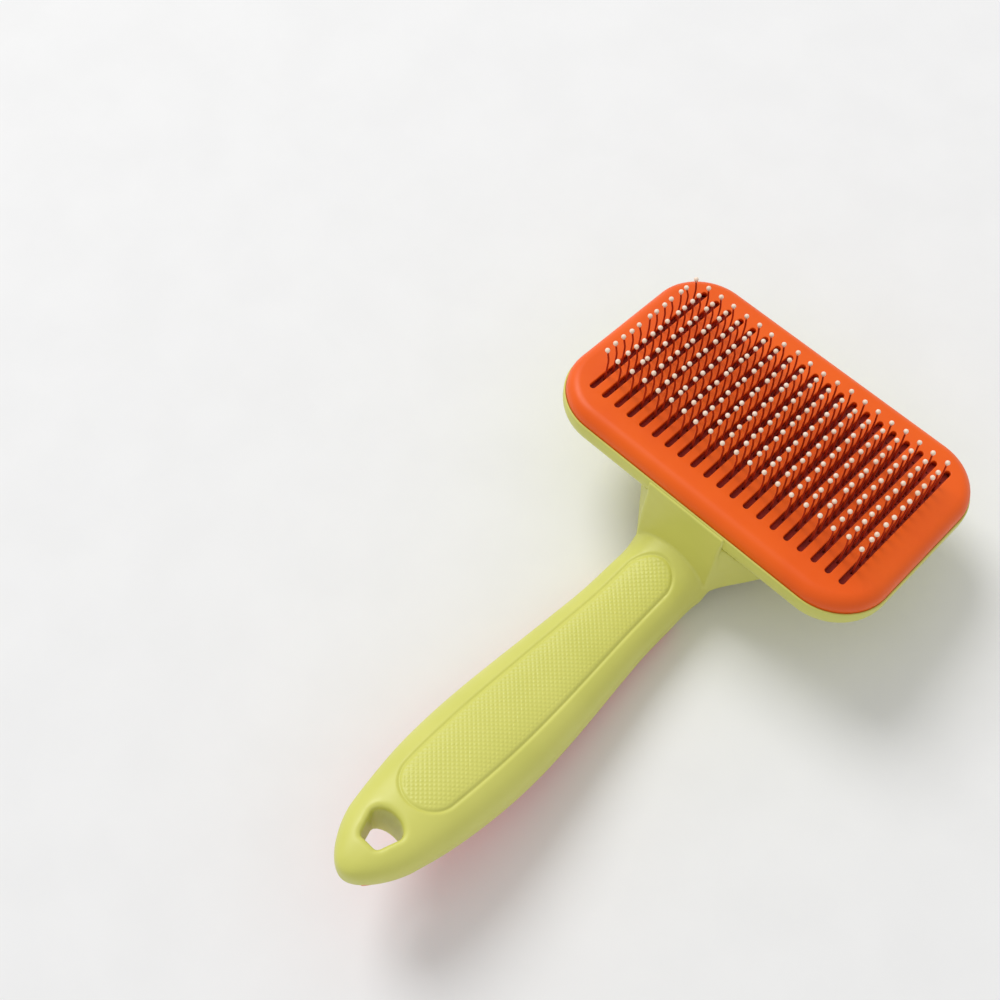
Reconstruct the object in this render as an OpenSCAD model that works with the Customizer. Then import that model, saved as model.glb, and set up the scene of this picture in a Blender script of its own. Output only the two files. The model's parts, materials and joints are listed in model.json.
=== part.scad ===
// Self-cleaning slicker brush, lying on its back with the pins up and out.
// Every piece is drawn in the head's own frame: the top of the face plate is z = 0, the pins point
// along +Z, the handle runs along -Y. resting() then leans the whole brush onto its hub and handle.

/* [Head] */
// Width of the head, across the handle
head_w = 100; // [96:1:106]
// Length of the head, along the handle
head_l = 64; // [62:1:68]
// Radius of the head's corners, seen from the front
head_corner = 15; // [12:1:18]
// Thickness of the head, from the face to the back of the shell
head_t = 18.5; // [18.5:0.5:20]
// Height of the face plate's visible edge
plate_rim = 4.5; // [4:0.25:6]
// Radius along the face plate's front edge
plate_edge = 3.5; // [2:0.25:3.5]
// How far the shell's lip stands out around the face plate
lip = 0.5; // [0.3:0.1:0.8]
// Radius along the shell's back edge
shell_edge = 7; // [5:0.5:8]
// Wall thickness of the face plate and the shell
wall = 1.6; // [1.4:0.1:1.6]

/* [Pins] */
// Number of slots, one row of pins in each
rows = 20; // [12:1:20]
// Distance between rows
row_pitch = 4.19; // [4.1:0.01:4.3]
// Staples in one row, two pins each
staples = 6; // [4:1:6]
// Distance between pins in a row
pin_pitch = 3.5; // [3.3:0.1:3.5]
// Width of a slot
slot_w = 1.6; // [1.5:0.1:1.8]
// Length of a slot
slot_l = 47.3; // [46:0.1:48]
// Radius of the pin wire
wire_r = 0.25; // [0.2:0.05:0.25]
// Radius of the ball on a pin
ball_r = 0.65; // [0.5:0.05:0.65]
// Height of a ball's centre above the face
ball_h = 11.45; // [10.5:0.05:11.6]
// Lean of a pin's lower part towards the handle, in degrees
low_lean = 8; // [4:1:10]
// Lean of a pin's upper part towards the handle, in degrees
high_lean = 21; // [16:1:24]

/* [Button] */
// Travel of the button, the pin base and the pins
travel = 12.5; // [12.2:0.1:12.5]
// Radius of the button
button_r = 12.3; // [12:0.1:12.5]
// Distance of the button's axis from the middle of the head, towards the handle
button_back = 1.5; // [0:0.5:4]
// Running clearance between the button and its collar
running = 0.1; // [0.05:0.01:0.1]
// Swing of the latch wire over the full travel, in degrees
latch_swing = 12; // [8:1:14]

/* [Hub and handle] */
// Distance of the hub's crown behind the face
crown = 31; // [30:0.5:32]
// Outer radius of the hub
hub_r = 27.5; // [26:0.5:28]
// Radius of the recess around the collar
recess_r = 18; // [17:0.5:18]
// Distance of the handle's tip from the middle of the head
tip = 147.8; // [146:0.2:150]
// Depth of the soft grip in the back of the handle
grip_t = 2.4; // [2:0.1:3]
// Lean of the brush when it lies on its hub and handle, in degrees
rest_lean = 11.85; // [11:0.05:12.5]

/* [Hidden] */
$fn = 48;
eps = 0.01;
axis_y = -button_back;
plate_w = head_w - 2 * lip;
plate_l = head_l - 2 * lip;
plate_corner = head_corner - lip;
shell_floor = -head_t + wall;

// Pin base and carrier
base_top = -wall - 0.2;
base_t = 1.4;
carrier_top = base_top - base_t;
carrier_t = 1;
base_w = 84;
base_l = 50;
staple_r = 0.6;
first_pin = 1.05 - (2 * staples - 1) * pin_pitch / 2;
bend_r = 3;
lower_end = 3.3;
bend_start = base_top + 0.3;

// Button, collar and latch
button_top = -crown + 0.5;
collar_end = -crown + 1.5;
collar_r = 15.6;
bore_r = button_r + running;
button_wall = 1.5;
skirt_end = carrier_top - carrier_t - 0.4;
seat_r = 8.2;
bridge_w = 5;
window = [6, 1];
window_z = button_top + 4;
arm = [8.9, 10.4, 5.2];
spring_r = 6.7;
spring_wire = 0.4;
spring_turns = 7;
cam = [8, 2];
cam_end = button_top + button_wall + 23.5;
groove_r = 0.75;
groove_depth = 1.3;
follower_r = 0.4;
follower_l = 6.8;
follower_z = button_top + 3.2;
follower_y = 0.9;
post = [4, 1.9, 4.2];

// Screws that hold the hub to the shell
screw_r = 1.05;
screw_head_r = 2.3;
screw_circle = 22.5;
screw_l = 8;

// Hanging hole
hole_y = -134.6;
hole_lip = 0.9;

// Lift that puts the round edge of the hub's crown on the ground after the lean
hub_edge = 8;
lift = (axis_y + hub_r - hub_edge) * sin(rest_lean) + (crown - hub_edge) * cos(rest_lean) + hub_edge;
// Shift that puts the origin under the middle of the length
mid_y = 60.96;

function two_digits(i) = str(i < 10 ? "0" : "", i);

green = "#d6de78";
orange = "#f05a1e";
wire_brown = "#5a1410";
cream = "#f6e3cf";
steel = "#b9bcc0";
white_resin = "#e8e6df";

module resting() {
  translate([0, mid_y, lift]) rotate([-rest_lean, 0, 0]) children();
}

// ---- Rounded block -------------------------------------------------------

// Half section of a block's edge: square below, rounded above
module edge_profile(w, t, edge) {
  difference() {
    square([w, t]);
    translate([w - edge, t - edge]) difference() {
      square([edge + 1, edge + 1]);
      circle(edge);
    }
  }
}

// Block with round corners in plan and a round upper edge, standing on z = 0
module rounded_block(w, l, corner, t, edge) {
  sx = w - 2 * corner;
  sy = l - 2 * corner;
  translate([-sx / 2, -sy / 2, 0]) cube([sx, sy, t]);
  for (side = [0, 180]) rotate([0, 0, side]) {
    translate([sx / 2, sy / 2, 0]) rotate([90, 0, 0]) linear_extrude(sy) edge_profile(corner, t, edge);
    translate([-sx / 2, sy / 2, 0]) rotate([90, 0, 90]) linear_extrude(sx) edge_profile(corner, t, edge);
    translate([sx / 2, sy / 2, 0]) rotate_extrude(angle = 90) edge_profile(corner, t, edge);
    translate([-sx / 2, sy / 2, 0]) rotate([0, 0, 90]) rotate_extrude(angle = 90) edge_profile(corner, t, edge);
  }
}

// Plain plate with round corners
module plain_plate(w, l, corner, t) {
  linear_extrude(t) {
    square([w - 2 * corner, l], center = true);
    square([w, l - 2 * corner], center = true);
    for (sx = [-1, 1], sy = [-1, 1])
      translate([sx * (w / 2 - corner), sy * (l / 2 - corner)]) circle(corner);
  }
}

// Slot with round ends along Y
module long_slot(w, l, t) {
  translate([-w / 2, -l / 2 + w / 2, 0]) cube([w, l - w, t]);
  for (end = [-1, 1]) translate([0, end * (l - w) / 2, 0]) cylinder(h = t, r = w / 2);
}

function row_x(i) = (i - (rows + 1) / 2) * row_pitch;

// ---- Head ----------------------------------------------------------------

tongue_in = wall + 0.15;
tongue_t = 1.1;
tongue_l = 2;
lug = [7, 0.5, 0.8];

// Places of the snap lugs around the tongue: x, y, turn
lug_places = [[-22, 1, 0], [22, 1, 0], [-22, -1, 180], [22, -1, 180]];

module snap_lugs(grow) {
  for (p = lug_places)
    translate([p[0], p[1] * (head_l / 2 - tongue_in), -plate_rim - 1.2])
      rotate([0, 0, p[2]])
        translate([-(lug[0] + grow) / 2, -0.2, -(lug[2] + grow) / 2])
          cube([lug[0] + grow, lug[1] + 0.2, lug[2] + grow]);
}

module face_plate() {
  color(orange) resting() difference() {
    union() {
      translate([0, 0, -plate_rim]) rounded_block(plate_w, plate_l, plate_corner, plate_rim, plate_edge);
      translate([0, 0, -plate_rim - tongue_l])
        plain_plate(head_w - 2 * tongue_in, head_l - 2 * tongue_in, head_corner - tongue_in, tongue_l);
      snap_lugs(0);
    }
    translate([0, 0, -plate_rim - tongue_l - 1])
      plain_plate(head_w - 2 * (tongue_in + tongue_t), head_l - 2 * (tongue_in + tongue_t),
                  head_corner - tongue_in - tongue_t, plate_rim + tongue_l + 1 - wall);
    for (i = [1:rows]) translate([row_x(i), 0, -wall - 1]) long_slot(slot_w, slot_l, wall + 2);
  }
}

module screw_places() {
  for (a = [30, 150, 270]) translate([0, axis_y, 0]) rotate([0, 0, a]) translate([screw_circle, 0, 0]) children();
}

// Opening that the button's skirt and the carrier's arms pass through
module button_opening() {
  difference() {
    cylinder(h = 3 * wall, r = bore_r, center = true);
    cylinder(h = 4 * wall, r = seat_r, center = true);
    cube([bridge_w, 2 * bore_r + 2, 4 * wall], center = true);
  }
}

module back_shell() {
  color(green) resting() {
    difference() {
      union() {
        translate([0, 0, -plate_rim]) mirror([0, 0, 1])
          rounded_block(head_w, head_l, head_corner, head_t - plate_rim, shell_edge);
        translate([0, axis_y, collar_end]) cylinder(h = -head_t - collar_end + eps, r = collar_r);
      }
      translate([0, 0, -plate_rim]) mirror([0, 0, 1])
        rounded_block(head_w - 2 * wall, head_l - 2 * wall, head_corner - wall,
                      head_t - plate_rim - wall, shell_edge - wall);
      translate([0, axis_y, collar_end - 1]) cylinder(h = -head_t - collar_end + 1, r = bore_r);
      translate([0, axis_y, collar_end - eps]) cylinder(h = 0.8, r1 = bore_r + 0.8, r2 = bore_r);
      translate([0, axis_y, -head_t + wall / 2]) button_opening();
      translate([0, axis_y, -head_t + wall / 2]) translate([0, -cam[1] / 2, 0])
        cube([cam[0] + 0.6, cam[1] + 0.6, 3 * wall], center = true);
      screw_places() {
        translate([0, 0, -head_t - 1]) cylinder(h = wall + 2, r = screw_r + 0.2);
        translate([0, 0, shell_floor - 1.2]) cylinder(h = 1.2 + eps, r1 = screw_r + 0.1, r2 = screw_head_r + 0.1);
      }
      snap_lugs(0.4);
    }
    latch_post();
  }
}

// Post on the spring seat that carries the latch wire's pivot
module latch_post() {
  post_end = button_top + button_wall + 0.6;
  translate([0, axis_y, 0]) difference() {
    translate([-post[0] / 2, post[1], post_end]) cube([post[0], post[2] - post[1], -head_t - post_end]);
    translate([0, post[1] - 1, follower_z]) rotate([-90, 0, 0]) cylinder(h = 2.8, r = follower_r + 0.05);
  }
}

module hub_screws() {
  color(steel) resting() screw_places() difference() {
    union() {
      translate([0, 0, shell_floor - screw_l]) cylinder(h = screw_l - 1.2, r = screw_r);
      translate([0, 0, shell_floor - 1.2]) cylinder(h = 1.2, r1 = screw_r, r2 = screw_head_r);
    }
    for (a = [0, 90]) rotate([0, 0, a]) translate([-1.3, -0.3, shell_floor - 0.7]) cube([2.6, 0.6, 1]);
  }
}

// ---- Moving group: base, pins, carrier, button -----------------------------

module pin_base() {
  color(wire_brown) resting() difference() {
    translate([0, 0, carrier_top]) plain_plate(base_w, base_l, 6, base_t);
    for (i = [1:rows], j = [0:2 * staples - 1])
      translate([row_x(i), first_pin + j * pin_pitch, carrier_top - 1]) cylinder(h = base_t + 2, r = wire_r + 0.02);
  }
}

module pin_carrier() {
  staple_span = (2 * staples - 1) * pin_pitch;
  color(white_resin) resting() {
    difference() {
      translate([0, 0, carrier_top - carrier_t]) plain_plate(base_w, base_l, 6, carrier_t);
      for (i = [1:rows])
        translate([row_x(i), first_pin + staple_span / 2, carrier_top - carrier_t - 1])
          long_slot(0.9, staple_span + 1.6, carrier_t + 2);
    }
    for (side = [0, 180]) translate([0, axis_y, 0]) rotate([0, 0, side]) {
      translate([arm[0], -arm[2] / 2, window_z - 0.7])
        cube([arm[1] - arm[0], arm[2], carrier_top - carrier_t - window_z + 0.7]);
      translate([arm[1] - eps, -2.4, window_z - 0.45]) cube([1.6, 4.8, 0.9]);
    }
  }
}

module button_cap() {
  inner_r = button_r - button_wall;
  edge = 1.2;
  color(orange) resting() translate([0, axis_y, 0]) difference() {
    rotate_extrude() difference() {
      translate([0, button_top]) square([button_r, skirt_end - button_top]);
      translate([0, button_top + button_wall]) square([inner_r, skirt_end - button_top]);
      translate([button_r - edge, button_top + edge]) difference() {
        translate([0, -edge - 1]) square([edge + 1, edge + 1]);
        circle(edge);
      }
    }
    // slots that straddle the seat's two bridges
    for (side = [0, 180]) rotate([0, 0, side])
      translate([-bridge_w / 2 - 0.3, inner_r - 1, -head_t - 0.3]) cube([bridge_w + 0.6, 4, skirt_end + head_t + 1]);
    for (side = [0, 180]) rotate([0, 0, side])
      translate([inner_r - 1, -window[0] / 2, window_z - window[1] / 2]) cube([4, window[0], window[1]]);
  }
}

// Arc of wire in the YZ plane around the origin, from angle a0 (0 is +Y, 90 is +Z) over da
module wire_arc(radius, a0, da) {
  rotate(a = 120, v = [1, 1, 1]) rotate([0, 0, a0]) rotate_extrude(angle = da) translate([radius, 0]) circle(wire_r, $fn = 16);
}

module straight_wire(l) {
  cylinder(h = l, r = wire_r, $fn = 16);
}

// Lengths of a pin's two straight parts, and how far its ball lies towards the handle
lower_l = (lower_end - bend_start - bend_r * sin(low_lean)) / cos(low_lean);
bend_rise = bend_r * (sin(high_lean) - sin(low_lean));
upper_l = (ball_h - lower_end - bend_rise) / cos(high_lean);
ball_back = bend_r * (1 - cos(high_lean)) + lower_l * sin(low_lean) + upper_l * sin(high_lean);

// One pin from the back of the base up to its ball
module pin() {
  translate([0, 0, carrier_top]) straight_wire(bend_start - carrier_top);
  translate([0, -bend_r, bend_start]) wire_arc(bend_r, 0, low_lean);
  translate([0, -bend_r, bend_start]) rotate([low_lean, 0, 0]) translate([0, bend_r, 0]) {
    straight_wire(lower_l);
    translate([0, -bend_r, lower_l]) {
      wire_arc(bend_r, 0, high_lean - low_lean);
      rotate([high_lean - low_lean, 0, 0]) translate([0, bend_r, 0]) straight_wire(upper_l);
    }
  }
}

// Two pins joined by a bar behind the base
module staple() {
  bar_z = carrier_top - staple_r;
  for (y = [0, pin_pitch]) translate([0, y, 0]) pin();
  translate([0, staple_r, carrier_top]) wire_arc(staple_r, 180, 90);
  translate([0, pin_pitch - staple_r, carrier_top]) wire_arc(staple_r, 270, 90);
  translate([0, staple_r, bar_z]) rotate([-90, 0, 0]) straight_wire(pin_pitch - 2 * staple_r);
}

module pin_row(i) {
  color(wire_brown) resting()
    for (s = [0:staples - 1]) translate([row_x(i), first_pin + 2 * s * pin_pitch, 0]) staple();
}

module pin_tips(i) {
  color(cream) resting()
    for (j = [0:2 * staples - 1])
      translate([row_x(i), first_pin + j * pin_pitch - ball_back, ball_h]) rotate([high_lean, 0, 0]) difference() {
        sphere(ball_r);
        translate([0, 0, -2 * ball_r]) cylinder(h = 2 * ball_r + 0.05, r = wire_r + 0.03, $fn = 16);
      }
}

// ---- Latch and spring --------------------------------------------------------

// Straight groove from point a to point b in the cam's face, each an [x, z] pair
module groove(a, b) {
  d = b - a;
  l = norm(d);
  translate([a[0], -groove_depth, a[1]]) rotate([0, atan2(d[0], d[1]), 0]) {
    translate([-groove_r, 0, 0]) cube([2 * groove_r, groove_depth + 1, l]);
    for (z = [0, l]) translate([0, 0, z]) rotate([-90, 0, 0]) cylinder(h = groove_depth + 1, r = groove_r);
  }
}

module latch_cam() {
  rest = [0, follower_z + follower_l];
  low = [follower_l * sin(latch_swing), follower_z + follower_l * cos(latch_swing) + travel];
  over = [-2.4, rest[1] - 2];
  color(white_resin) resting() translate([0, axis_y, 0]) difference() {
    translate([-cam[0] / 2, -cam[1], button_top + button_wall])
      cube([cam[0], cam[1], cam_end - button_top - button_wall]);
    groove(rest, low);
    groove(over, low);
    groove(over, rest);
  }
}

module latch_wire() {
  top = follower_z + follower_l;
  color(steel) resting() translate([0, axis_y + follower_y, 0]) {
    translate([0, 0, follower_z]) {
      rotate([-90, 0, 0]) cylinder(h = 2.3, r = follower_r);
      cylinder(h = follower_l, r = follower_r);
      sphere(follower_r);
    }
    translate([0, 0, top]) {
      rotate([90, 0, 0]) cylinder(h = follower_y + 0.9, r = follower_r);
      sphere(follower_r);
    }
  }
}

// Coil spring between the shell's seat and the button
module return_spring() {
  low = button_top + button_wall + spring_wire + 0.1;
  high = -head_t - spring_wire - 0.1;
  sides = 6;
  per_turn = 20;
  steps = spring_turns * per_turn;
  rise = (high - low) / steps;
  ring = [for (k = [0:steps], s = [0:sides - 1])
    let (a = 360 * k / per_turn, b = 360 * s / sides, r = spring_r + spring_wire * cos(b))
    [r * cos(a), r * sin(a), low + k * rise + spring_wire * sin(b)]];
  side_faces = [for (k = [0:steps - 1], s = [0:sides - 1])
    let (n = (s + 1) % sides)
    each [[k * sides + s, k * sides + n, (k + 1) * sides + n], [k * sides + s, (k + 1) * sides + n, (k + 1) * sides + s]]];
  ends = [[for (s = [sides - 1:-1:0]) s], [for (s = [0:sides - 1]) steps * sides + s]];
  color(steel) resting() translate([0, axis_y, 0]) polyhedron(ring, concat(side_faces, ends), convexity = 10);
}

// ---- Handle --------------------------------------------------------------------

// Stations of the neck and handle: y, front z, back z, half width, squareness of the section
stations = [
  [-19, -18.5, -31.0, 18.5, 5],
  [-23, -18.5, -31.6, 17.2, 5],
  [-26.5, -18.6, -33.6, 15.2, 4.5],
  [-29, -22.2, -36.0, 13.4, 4],
  [-31.5, -26.4, -38.6, 12.0, 3.6],
  [-36, -27.0, -41.7, 11.3, 3],
  [-41, -26.9, -43.6, 11.3, 2.8],
  [-52, -27.2, -45.3, 11.5, 2.5],
  [-63, -27.7, -46.7, 12.6, 2.5],
  [-73, -28.2, -48.2, 13.8, 2.5],
  [-83, -28.5, -49.2, 14.7, 2.5],
  [-94, -28.4, -49.6, 15.4, 2.5],
  [-105, -28.0, -48.8, 15.4, 2.5],
  [-116, -27.6, -47.2, 14.7, 2.5],
  [-126, -27.8, -45.3, 13.3, 2.5],
  [-135, -28.3, -43.4, 11.3, 2.5],
  [-144, -29.0, -42.4, 9.3, 2.5],
  [-150, -29.3, -42.0, 8.3, 2.5]];

// Smooth curve through a column of the stations (Catmull-Rom)
function slope(k, c) =
  let (a = max(k - 1, 0), b = min(k + 1, len(stations) - 1))
  (stations[b][c] - stations[a][c]) / (stations[b][0] - stations[a][0]);
function hermite(t, p0, m0, p1, m1) =
  (2 * t ^ 3 - 3 * t ^ 2 + 1) * p0 + (t ^ 3 - 2 * t ^ 2 + t) * m0 + (3 * t ^ 2 - 2 * t ^ 3) * p1 + (t ^ 3 - t ^ 2) * m1;
function segment(y, k = 0) = k >= len(stations) - 2 || y >= stations[k + 1][0] ? k : segment(y, k + 1);
function along(y, c) =
  let (k = segment(y), h = stations[k + 1][0] - stations[k][0], t = (y - stations[k][0]) / h)
  hermite(t, stations[k][c], slope(k, c) * h, stations[k + 1][c], slope(k + 1, c) * h);

// The end of the handle closes on an ellipse
tip_round = 14;
function closing(y) = sqrt(max(0, 1 - max(0, (tip_round - tip - y) / tip_round) ^ 2));
function half_w(y) = along(y, 3) * closing(y);
function mid_z(y) = (along(y, 1) + along(y, 2)) / 2;
function half_t(y) = (along(y, 1) - along(y, 2)) / 2 * sqrt(closing(y));

// Point of the section at angle a (0 is +X, 90 is the front), pulled in by inset
function on_section(y, a, inset) =
  let (n = 2 / along(y, 4), c = cos(a), s = sin(a))
  [sign(c) * abs(c) ^ n * max(half_w(y) - inset, 0.2), y, mid_z(y) + sign(s) * abs(s) ^ n * max(half_t(y) - inset, 0.2)];

// Web between the head and the handle: y at the shell and at the handle, and the handle's height there
web_top = -26;
web_low = -29.6;
step_z = -26.2;

// Ends of the grip, and the angle of its edge around the section
grip_from = -37;
grip_to = -145.4;
grip_angle = 28;
end_r = 7;
function end_pull(y) =
  let (t = min(end_r, grip_from - y)) 1 - (end_r - sqrt(max(0, end_r ^ 2 - (end_r - t) ^ 2))) / 12;
function edge_angle(y) = grip_angle + (1 - end_pull(y)) * 50;

front_n = 20;
back_n = 14;
function front_arc(y) = [for (k = [0:front_n])
  on_section(y, -edge_angle(y) + (180 + 2 * edge_angle(y)) * k / front_n, 0)];
function back_arc(y, inset) = [for (k = [0:back_n])
  on_section(y, -edge_angle(y) - 1.5 - (177 - 2 * edge_angle(y)) * k / back_n, inset)];
function reversed(v) = [for (k = [len(v) - 1:-1:0]) v[k]];

// Closed skin over rings of equal length, the first ring at the hub end
function skin_faces(rings, n) = concat(
  [for (r = [0:rings - 2], k = [0:n - 1])
    let (a = r * n + k, b = r * n + (k + 1) % n) each [[b, a, b + n], [b + n, a, a + n]]],
  [[for (k = [0:n - 1]) k], [for (k = [n - 1:-1:0]) (rings - 1) * n + k]]);

core_ys = concat([-19, -21, -23, -25, -26.5, -28, -29.5, -31, -33, -35],
  [grip_from + 0.02, grip_from - 0.05, grip_from - 1, grip_from - 3, grip_from - 7],
  [for (y = [-49:-7:-126]) y], [-131, -135.5, -139.5, -142.5, -144.5],
  [grip_to, grip_to - 0.1, -146.6, -147.4, -147.75]);
grip_ys = concat([grip_from - 0.05, grip_from - 1, grip_from - 3, grip_from - 7],
  [for (y = [-49:-7:-126]) y], [-131, -135.5, -139.5, -142.5, -144.5], [grip_to]);
function grip_inset(y) = y > grip_from || y < grip_to ? 0 : grip_t;

module core_body() {
  points = [for (y = core_ys) each concat(front_arc(y), reversed(back_arc(y, grip_inset(y))))];
  n = front_n + back_n + 2;
  polyhedron(points, skin_faces(len(core_ys), n), convexity = 6);
}

module grip_body() {
  points = [for (y = grip_ys) each concat(
    [on_section(y, 180 + edge_angle(y), 0)], reversed(back_arc(y, 0)), [on_section(y, -edge_angle(y), 0)], back_arc(y, grip_t))];
  n = 2 * back_n + 4;
  polyhedron(points, skin_faces(len(grip_ys), n), convexity = 6);
}

// Outline of the hanging hole: straight towards the tip, domed towards the head
module hole_outline(grow) {
  flat = 3.1 + grow * 0.6;
  wide = 5.1 + grow;
  foot = -5.1 - grow;
  shoulder = 1.2;
  dome = 4.2 + grow;
  polygon(concat(
    [[-flat + 0.7, foot], [flat - 0.7, foot], [flat, foot + 0.6]],
    [for (a = [0:15:180]) [wide * cos(a), shoulder + (dome - shoulder) * sin(a)]],
    [[-flat, foot + 0.6]]));
}

module hub_ring() {
  translate([0, axis_y, 0]) rotate_extrude() difference() {
    translate([recess_r - 2, -crown]) square([hub_r - recess_r + 2, crown - head_t]);
    translate([hub_r - hub_edge, -crown + hub_edge]) difference() {
      translate([0, -hub_edge - 1]) square([hub_edge + 1, hub_edge + 1]);
      circle(hub_edge);
    }
  }
}

// Open space above the web between the head and the handle: the web is its slanted lower face
module above_web() {
  rotate([90, 0, 90]) linear_extrude(2 * hub_r, center = true)
    polygon([[web_top, -head_t + 2], [web_top, -head_t], [web_low, step_z], [grip_from, step_z], [grip_from, -head_t + 2]]);
}

module handle_core() {
  color(green) resting() difference() {
    union() {
      core_body();
      hub_ring();
      translate([0, hole_y, -43.2]) linear_extrude(6) hole_outline(hole_lip);
    }
    above_web();
    translate([0, axis_y, -crown - 20]) cylinder(h = crown + 20 - head_t + 1, r = recess_r);
    translate([0, -13.5, -36]) sphere(13);
    translate([0, hole_y, -60]) linear_extrude(40) hole_outline(0);
    screw_places() translate([0, 0, -head_t - 7.5]) cylinder(h = 8.5, r = screw_r + 0.05);
  }
}

module back_grip() {
  color(orange) resting() difference() {
    grip_body();
    translate([0, hole_y, -60]) linear_extrude(40) hole_outline(hole_lip);
  }
}

handle_core();
back_grip();
back_shell();
face_plate();
hub_screws();
return_spring();
button_cap();
pin_carrier();
pin_base();
latch_cam();
latch_wire();
for (i = [1:rows]) {
  pin_row(i);
  pin_tips(i);
}
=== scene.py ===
"""Looks of the self-cleaning slicker brush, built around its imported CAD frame.

Every shape is worked out in millimetres in the head's own frame: the face of the plate is z = 0,
the pins point along +Z and the handle runs along -Y. REST then lays the brush on the ground,
leaning on its hub and the back of its handle, in metres.
"""

import json
import math

import bmesh
import bpy
import numpy as np
from mathutils import Matrix, Vector

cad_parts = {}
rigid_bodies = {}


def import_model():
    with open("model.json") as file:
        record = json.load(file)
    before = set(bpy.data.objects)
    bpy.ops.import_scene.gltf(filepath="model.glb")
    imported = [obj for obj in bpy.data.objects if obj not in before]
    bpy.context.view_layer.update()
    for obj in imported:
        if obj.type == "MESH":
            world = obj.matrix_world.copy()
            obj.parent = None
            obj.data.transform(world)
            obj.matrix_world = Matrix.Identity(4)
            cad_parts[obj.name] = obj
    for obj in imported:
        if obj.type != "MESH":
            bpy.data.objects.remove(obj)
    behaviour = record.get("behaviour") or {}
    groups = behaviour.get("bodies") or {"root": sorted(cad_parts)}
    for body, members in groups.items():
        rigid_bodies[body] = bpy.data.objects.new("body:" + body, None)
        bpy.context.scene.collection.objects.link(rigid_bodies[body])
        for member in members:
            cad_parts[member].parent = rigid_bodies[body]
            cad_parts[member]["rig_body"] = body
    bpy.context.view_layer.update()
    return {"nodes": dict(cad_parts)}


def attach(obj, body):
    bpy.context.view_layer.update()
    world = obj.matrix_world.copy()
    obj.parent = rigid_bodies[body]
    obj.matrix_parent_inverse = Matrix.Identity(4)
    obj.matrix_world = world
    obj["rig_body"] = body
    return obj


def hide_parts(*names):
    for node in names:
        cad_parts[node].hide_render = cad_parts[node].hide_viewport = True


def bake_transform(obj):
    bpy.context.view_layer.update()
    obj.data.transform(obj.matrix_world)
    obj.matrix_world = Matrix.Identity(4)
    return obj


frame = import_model()
rng = np.random.default_rng(7)

# ---- Driving dimensions, millimetres in the head's frame -------------------------------

HEAD = (100.0, 64.0)
HEAD_CORNER = 15.0
HEAD_BACK = -18.5
# How far the middle of each side stands out past the corners
BOW = 0.6
LIP = 0.5
PLATE_RIM = 4.5
PLATE_EDGE = 3.5
WALL = 1.6
# Shell's outside: upright from the lip, a soft turn, a slant and a small round into the flat back
SHELL_TURN = -6.3
SHELL_TURN_R = 6.0
SHELL_SLANT = 34.0
SHELL_LOW = (5.64, -16.5)
SIDE_WALL = 0.4

ROWS = 20
ROW_PITCH = 4.19
STAPLES = 6
PIN_PITCH = 3.2
SLOT = (1.6, 47.3)
WIRE_R = 0.25
BALL_R = 0.65
BALL_Z = 11.45
BASE_BACK = -3.2
STAPLE_R = 0.6
BEND_START = -1.5
BEND_Z = 6.0
LOW_LEAN = math.radians(1.5)
BALL_BACK = 2.0
FIRST_PIN = -0.3 - (2 * STAPLES - 1) * PIN_PITCH / 2

AXIS_Y = -1.5
BUTTON_R = 12.3
BUTTON_TOP = -30.5
BUTTON_WALL = 1.5
BUTTON_EDGE = 1.2
SKIRT_END = -4.6
WINDOW = (6.0, 1.0)
WINDOW_Z = BUTTON_TOP + 4
COLLAR_R = 15.6
COLLAR_END = -29.5
BORE_R = 12.4
CROWN = -31.0
HUB_R = 27.5
RECESS_R = 18.0

TIP = 147.8
TIP_ROUND = 14.0
HOLE_Y = -134.6
HOLE_LIP = 0.9
GRIP_FROM = -37.0
GRIP_TO = -145.4

LEAN = math.radians(11.85)
HUB_EDGE = 8.0
MID_Y = 60.96
# Height of the head's origin when the round edge of the hub touches the ground
LIFT = (AXIS_Y + HUB_R - HUB_EDGE) * math.sin(LEAN) + (-CROWN - HUB_EDGE) * math.cos(LEAN) + HUB_EDGE

REST = Matrix.Scale(0.001, 4) @ Matrix.Translation((0, MID_Y, LIFT)) @ Matrix.Rotation(-LEAN, 4, "X")


def at_rest(points):
    """Points of the head's frame, moved to the row frame in metres."""
    m = np.array(REST)
    return np.asarray(points, float) @ m[:3, :3].T + m[:3, 3]


# ---- Materials -------------------------------------------------------------------------


def linear(r, g, b):
    """Scene colour of an 8-bit display colour."""
    scaled = (c / 255 for c in (r, g, b))
    return tuple(c / 12.92 if c <= 10 / 255 else ((c + 0.055) / 1.055) ** 2.4 for c in scaled) + (1.0,)


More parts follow.
